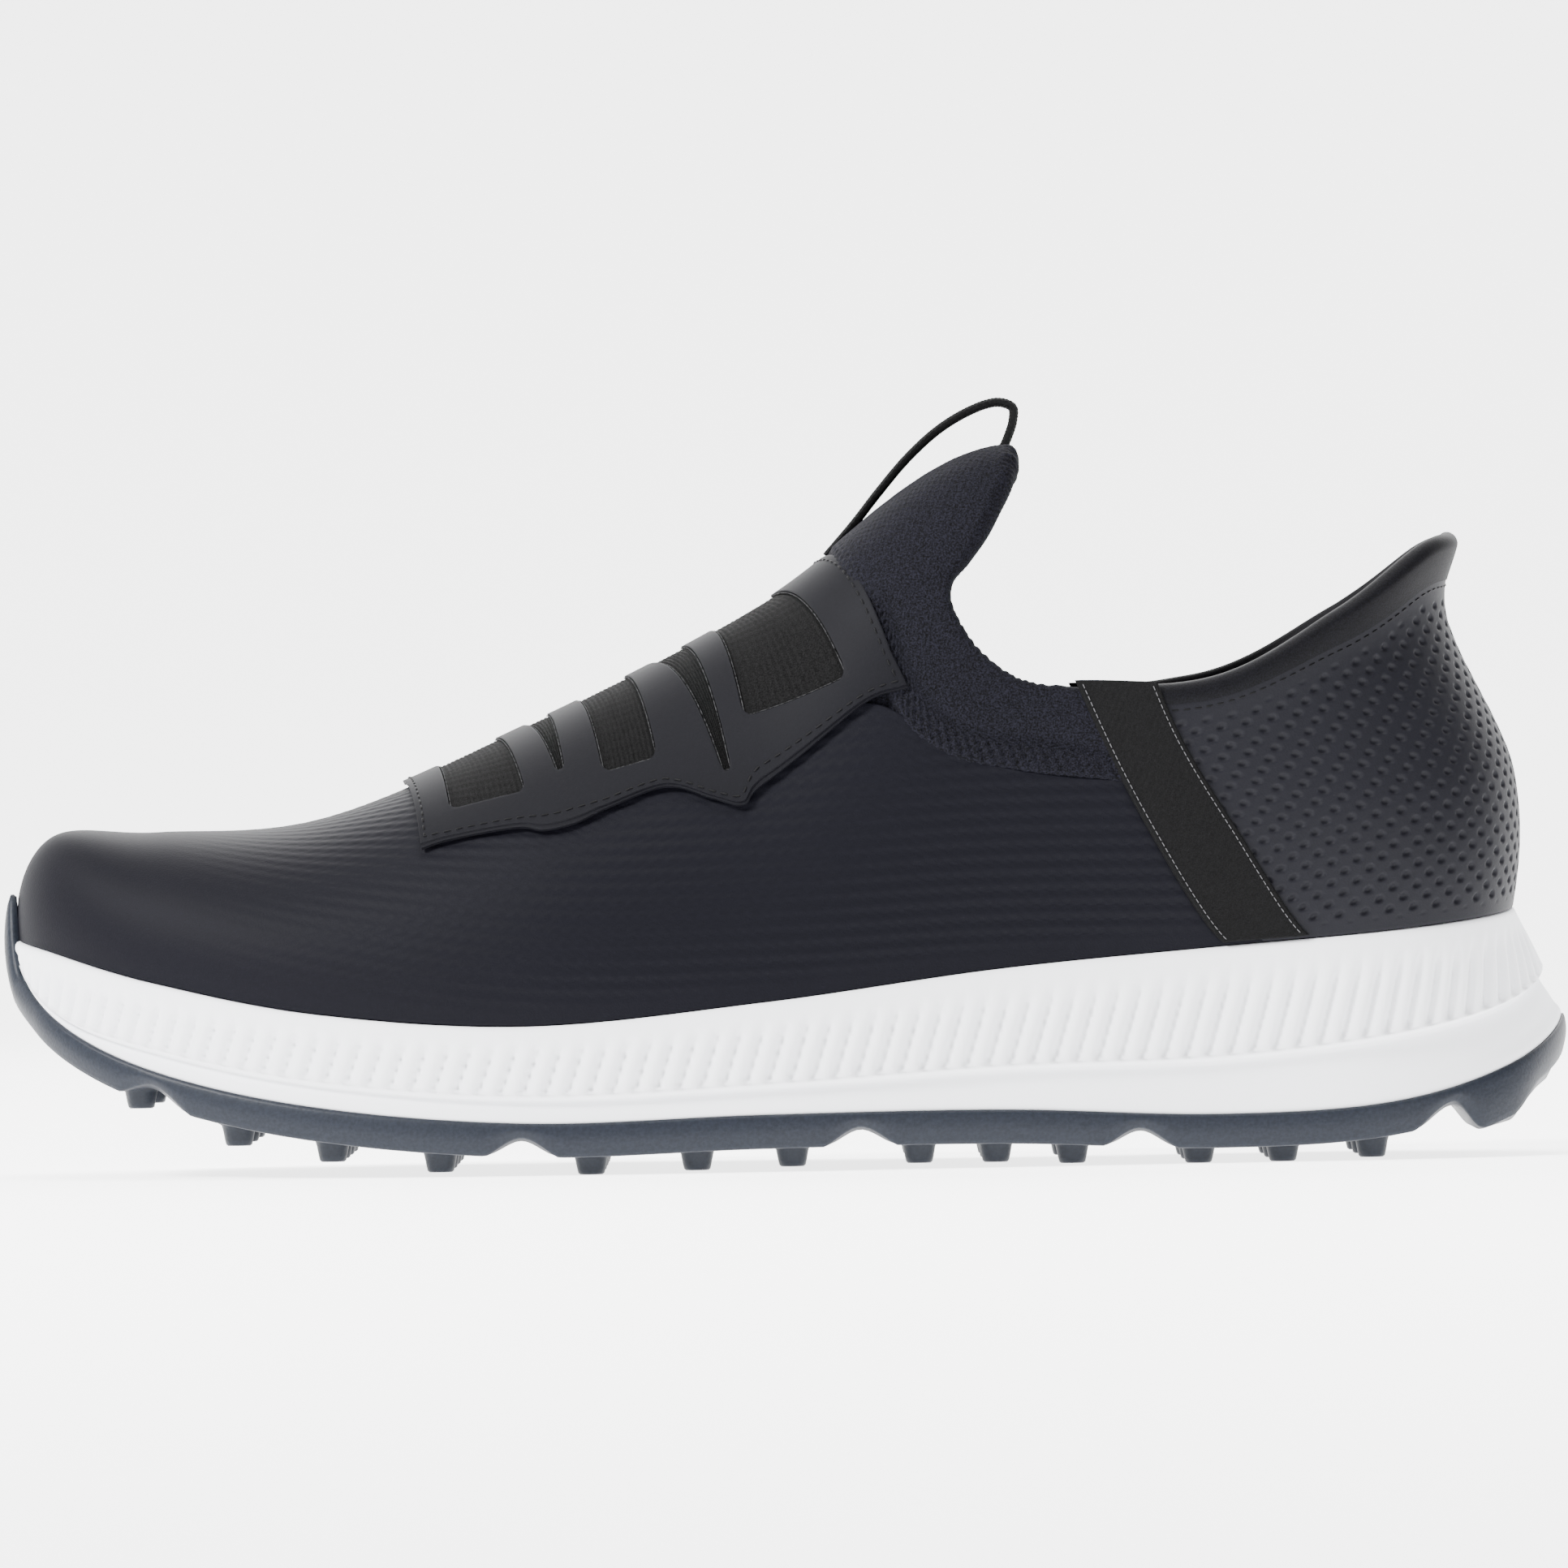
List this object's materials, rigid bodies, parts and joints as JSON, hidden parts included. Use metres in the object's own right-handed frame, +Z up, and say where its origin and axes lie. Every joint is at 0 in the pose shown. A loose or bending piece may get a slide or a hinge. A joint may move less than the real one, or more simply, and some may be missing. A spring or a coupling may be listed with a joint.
{
  "type": "golf shoe",
  "caption": "Low slip-on spikeless golf shoe, left foot: turf-lugged rubber outsole, thick foam midsole, elastic instep gore under a cut cage, knit tongue with pull loop.",
  "frame": {"origin": "on the ground under the middle of the shoe's outer box", "axes": "+Z up, -X towards the toe and +X towards the heel, -Y towards the outer (lateral) side of this left shoe"},
  "size_m": [0.2993, 0.1081, 0.1465],
  "materials": {
    "rubber": "satin, slate navy",
    "lug_rubber": "satin, slate navy",
    "midsole_foam": "matte white foam",
    "board": "matte woven board",
    "insole_foam": "matte, fabric covered foam",
    "synthetic": "matte embossed synthetic",
    "stiffener": "matte moulded sheet",
    "lining_mesh": "matte mesh",
    "binding": "soft sheen",
    "webbing": "matte woven webbing",
    "elastic": "matte ribbed elastic",
    "film": "matte fused film",
    "knit": "matte padded knit",
    "foam": "open foam"
  },
  "bodies": {
    "rearfoot": {"outsole_rear": "rubber", "turf_lugs_rear": "lug_rubber", "midsole_rear": "midsole_foam", "lasting_board_rear": "board", "insole_rear": "insole_foam", "vamp_flex_zone": "synthetic", "lining_flex_zone": "lining_mesh", "instep_lining": "lining_mesh", "quarter_lateral": "synthetic", "quarter_medial": "synthetic", "heel_panel": "synthetic", "heel_counter": "stiffener", "heel_pillow": "foam", "heel_lining": "lining_mesh", "collar_rim": "binding", "side_tape_lateral": "webbing", "side_tape_medial": "webbing", "elastic_gore": "elastic", "cage_overlay": "film", "knit_collar": "knit", "knit_bend_zone": "knit"},
    "forefoot": {"outsole_fore": "rubber", "turf_lugs_fore": "lug_rubber", "midsole_fore": "midsole_foam", "lasting_board_fore": "board", "insole_fore": "insole_foam", "vamp_toe": "synthetic", "toe_puff": "stiffener", "lining_toe": "lining_mesh"},
    "tongue_top": {"tongue": "knit", "tongue_foam": "foam", "loop_tab_front": "webbing", "loop_tab_rear": "webbing"},
    "loop": {"pull_loop": "webbing"}
  },
  "joints": [
    {"name": "toe_flex", "type": "hinge", "parent": "rearfoot", "child": "forefoot", "pos_m": [-0.05, 0, 0.0288], "axis": [0, 1, 0], "range_deg": [0, 30], "stiffness_Nm_per_rad": 2.5, "deforming": ["vamp_flex_zone", "lining_flex_zone", "elastic_gore", "cage_overlay"]},
    {"name": "tongue_tilt", "type": "hinge", "parent": "rearfoot", "child": "tongue_top", "pos_m": [0.0155, 0, 0.1165], "axis": [0, -1, 0], "range_deg": [-8, 20], "stiffness_Nm_per_rad": 0.3, "deforming": ["knit_bend_zone"]},
    {"name": "loop_swing", "type": "hinge", "parent": "tongue_top", "child": "loop", "pos_m": [0.014, 0, 0.1219], "axis": [0.8777, 0, 0.4793], "range_deg": [-30, 30], "stiffness_Nm_per_rad": 0.01}
  ]
}
